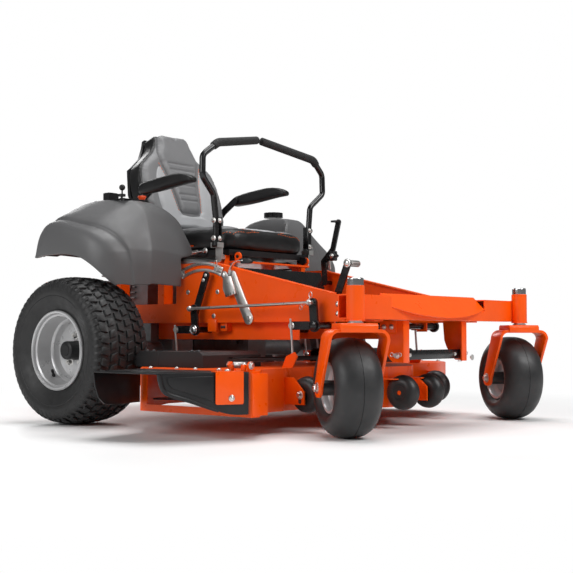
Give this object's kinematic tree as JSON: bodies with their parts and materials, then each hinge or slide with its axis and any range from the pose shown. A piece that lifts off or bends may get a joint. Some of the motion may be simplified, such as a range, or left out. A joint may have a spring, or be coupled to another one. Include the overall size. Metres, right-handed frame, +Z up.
{
  "type": "zero turn mower",
  "caption": "Ride-on zero turn mower with twin lap-bar levers, side discharge deck, padded seat, turf drive tyres and swivelling front casters.",
  "frame": {"origin": "on the ground at the centre of the machine's bounding box", "axes": "+X forward, +Y to the operator's left, +Z up"},
  "size_m": [1.9433, 1.884, 1.2349],
  "materials": {
    "orange_paint": "gloss powder coat",
    "black_paint": "gloss black powder coat",
    "zinc": "zinc plated steel",
    "bright_metal": "bright plated cap",
    "engine_metal": "cast aluminium",
    "dark_steel": "dark painted steel",
    "black_plastic": "satin black moulded plastic",
    "grey_plastic": "textured dark grey moulded plastic",
    "orange_knob": "orange moulded plastic",
    "tyre": "black tyre rubber",
    "rim_paint": "silver grey paint",
    "grip_foam": "black foam grip",
    "belt_rubber": "black rubber",
    "seat_vinyl": "grey and light grey sewn vinyl",
    "arm_vinyl": "black padded vinyl"
  },
  "bodies": {
    "chassis": {"main_frame": "orange_paint", "side_panels": "orange_paint", "foot_platform": "black_paint", "front_beam": "orange_paint", "nose_plate": "orange_paint", "front_brackets": "orange_paint", "caster_caps": "bright_metal", "engine_block": "engine_metal", "engine_shroud": "black_plastic", "air_filter": "black_plastic", "muffler": "dark_steel", "engine_guard": "orange_paint", "transaxles": "engine_metal", "fender_right": "grey_plastic", "fender_left": "grey_plastic", "gauge_console": "black_plastic", "seat_mount": "orange_paint", "height_quadrant": "zinc"},
    "rear_wheel_right": {"rear_tyre_right": "tyre", "rear_rim_right": "rim_paint"},
    "rear_wheel_left": {"rear_tyre_left": "tyre", "rear_rim_left": "rim_paint"},
    "fork_right": {"caster_fork_right": "orange_paint"},
    "fork_left": {"caster_fork_left": "orange_paint"},
    "caster_wheel_right": {"caster_tyre_right": "tyre", "caster_rim_right": "rim_paint"},
    "caster_wheel_left": {"caster_tyre_left": "tyre", "caster_rim_left": "rim_paint"},
    "drive_pivot_right": {"lever_base_right": "zinc"},
    "drive_pivot_left": {"lever_base_left": "zinc"},
    "drive_lever_right": {"control_lever_right": "black_paint", "lever_grip_right": "grip_foam"},
    "drive_lever_left": {"control_lever_left": "black_paint", "lever_grip_left": "grip_foam"},
    "deck": {"deck_shell": "orange_paint", "deck_covers": "grey_plastic", "spindle_housings": "engine_metal", "hanger_rods": "zinc", "deck_belt": "belt_rubber"},
    "blade_spindle_right": {"blade_right": "dark_steel"},
    "blade_spindle_centre": {"blade_centre": "dark_steel"},
    "blade_spindle_left": {"blade_left": "dark_steel"},
    "scalp_roller_right": {"roller_right": "belt_rubber"},
    "scalp_roller_left": {"roller_left": "belt_rubber"},
    "nose_rollers": {"front_rollers": "belt_rubber"},
    "chute": {"discharge_chute": "black_plastic"},
    "front_lift": {"front_lift_shaft": "black_paint", "pedal_roller": "zinc"},
    "rear_lift": {"rear_lift_shaft": "black_paint"},
    "lift_links": {"link_rods": "zinc"},
    "seat": {"seat_cushion": "seat_vinyl", "seat_back": "seat_vinyl", "seat_shell": "black_plastic"},
    "arm_right": {"armrest_right": "arm_vinyl"},
    "arm_left": {"armrest_left": "arm_vinyl"},
    "brake": {"brake_lever": "black_paint"},
    "throttle": {"throttle_lever": "black_plastic"},
    "choke": {"choke_knob": "black_plastic"},
    "pto_switch": {"pto_knob": "orange_knob"},
    "tank_cap": {"fuel_cap": "black_plastic"}
  },
  "joints": [
    {"name": "rear_wheel_right_spin", "type": "hinge", "parent": "chassis", "child": "rear_wheel_right", "pos_m": [-0.3325, -0.5745, 0.2794], "axis": [0, 1, 0], "continuous": true},
    {"name": "caster_right_swivel", "type": "hinge", "parent": "chassis", "child": "fork_right", "pos_m": [0.8725, -0.425, 0.44], "axis": [0, 0, 1], "continuous": true},
    {"name": "caster_right_roll", "type": "hinge", "parent": "fork_right", "child": "caster_wheel_right", "pos_m": [0.80618, -0.38027, 0.165], "axis": [0.5592, 0.829, 0], "continuous": true},
    {"name": "drive_right_stroke", "type": "hinge", "parent": "chassis", "child": "drive_pivot_right", "pos_m": [0.0015, -0.168, 0.64], "axis": [0, 1, 0], "range_deg": [-12, 15], "stiffness_Nm_per_rad": 40},
    {"name": "drive_right_swing_out", "type": "hinge", "parent": "drive_pivot_right", "child": "drive_lever_right", "pos_m": [0.0015, -0.168, 0.69], "axis": [1, 0, 0], "range_deg": [0, 30]},
    {"name": "rear_wheel_left_spin", "type": "hinge", "parent": "chassis", "child": "rear_wheel_left", "pos_m": [-0.3325, 0.8145, 0.2794], "axis": [0, 1, 0], "continuous": true},
    {"name": "caster_left_swivel", "type": "hinge", "parent": "chassis", "child": "fork_left", "pos_m": [0.8725, 0.665, 0.44], "axis": [0, 0, 1], "continuous": true},
    {"name": "caster_left_roll", "type": "hinge", "parent": "fork_left", "child": "caster_wheel_left", "pos_m": [0.80618, 0.70974, 0.165], "axis": [0.5592, 0.829, 0], "continuous": true},
    {"name": "drive_left_stroke", "type": "hinge", "parent": "chassis", "child": "drive_pivot_left", "pos_m": [0.0015, 0.408, 0.64], "axis": [0, 1, 0], "range_deg": [-12, 15], "stiffness_Nm_per_rad": 40},
    {"name": "drive_left_swing_out", "type": "hinge", "parent": "drive_pivot_left", "child": "drive_lever_left", "pos_m": [0.0015, 0.408, 0.69], "axis": [-1, 0, 0], "range_deg": [0, 30]},
    {"name": "deck_lift", "type": "slide", "parent": "chassis", "child": "deck", "axis": [0, 0, 1], "range_m": [-0.035, 0.05]},
    {"name": "front_lift_turn", "type": "hinge", "parent": "chassis", "child": "front_lift", "pos_m": [0.5745, 0.12, 0.371], "axis": [0, 1, 0], "range_deg": [-21, 30]},
    {"name": "rear_lift_turn", "type": "hinge", "parent": "chassis", "child": "rear_lift", "pos_m": [-0.0145, 0.12, 0.358], "axis": [0, 1, 0], "range_deg": [-21, 30]},
    {"name": "lift_link_travel", "type": "slide", "parent": "chassis", "child": "lift_links", "axis": [1, 0, 0], "range_m": [-0.03, 0.042]},
    {"name": "blade_right_spin", "type": "hinge", "parent": "deck", "child": "blade_spindle_right", "pos_m": [0.2275, -0.39, 0.18], "axis": [0, 0, 1], "continuous": true},
    {"name": "blade_centre_spin", "type": "hinge", "parent": "deck", "child": "blade_spindle_centre", "pos_m": [0.3925, 0.12, 0.18], "axis": [0, 0, 1], "continuous": true},
    {"name": "blade_left_spin", "type": "hinge", "parent": "deck", "child": "blade_spindle_left", "pos_m": [0.2275, 0.63, 0.18], "axis": [0, 0, 1], "continuous": true},
    {"name": "roller_right_roll", "type": "hinge", "parent": "deck", "child": "scalp_roller_right", "pos_m": [0.5645, -0.29, 0.13], "axis": [0, 1, 0], "continuous": true},
    {"name": "roller_left_roll", "type": "hinge", "parent": "deck", "child": "scalp_roller_left", "pos_m": [0.5645, 0.53, 0.13], "axis": [0, 1, 0], "continuous": true},
    {"name": "nose_rollers_roll", "type": "hinge", "parent": "deck", "child": "nose_rollers", "pos_m": [0.7425, 0.12, 0.13], "axis": [0, 1, 0], "continuous": true},
    {"name": "chute_fold", "type": "hinge", "parent": "deck", "child": "chute", "pos_m": [0.5735, -0.648, 0.24], "axis": [-1, 0, 0], "range_deg": [0, 80]},
    {"name": "seat_tilt", "type": "hinge", "parent": "chassis", "child": "seat", "pos_m": [0.0485, 0.12, 0.647], "axis": [0, 1, 0], "range_deg": [0, 25]},
    {"name": "arm_right_lift", "type": "hinge", "parent": "seat", "child": "arm_right", "pos_m": [-0.4045, -0.16, 0.944], "axis": [0, -1, 0], "range_deg": [0, 75]},
    {"name": "arm_left_lift", "type": "hinge", "parent": "seat", "child": "arm_left", "pos_m": [-0.4045, 0.4, 0.944], "axis": [0, -1, 0], "range_deg": [0, 75]},
    {"name": "brake_pull", "type": "hinge", "parent": "chassis", "child": "brake", "pos_m": [0.0825, 0.42, 0.56], "axis": [0, 1, 0], "range_deg": [0, 25]},
    {"name": "throttle_turn", "type": "hinge", "parent": "chassis", "child": "throttle", "pos_m": [-0.2765, -0.41, 0.862], "axis": [0, 1, 0], "range_deg": [-25, 25]},
    {"name": "choke_pull", "type": "slide", "parent": "chassis", "child": "choke", "axis": [0, 0, 1], "range_m": [0, 0.012]},
    {"name": "pto_pull", "type": "slide", "parent": "chassis", "child": "pto_switch", "axis": [0, 0, 1], "range_m": [0, 0.012]},
    {"name": "tank_cap_turn", "type": "hinge", "parent": "chassis", "child": "tank_cap", "pos_m": [-0.3825, 0.62, 0.895], "axis": [0, 0, 1], "continuous": true}
  ],
  "couplings": [
    {"joint": "front_lift_turn", "follows": "deck_lift", "rad_per_m": 10},
    {"joint": "rear_lift_turn", "follows": "deck_lift", "rad_per_m": 10},
    {"joint": "lift_link_travel", "follows": "deck_lift", "ratio": 0.8},
    {"joint": "blade_right_spin", "follows": "blade_centre_spin", "ratio": 1},
    {"joint": "blade_left_spin", "follows": "blade_centre_spin", "ratio": 1}
  ]
}
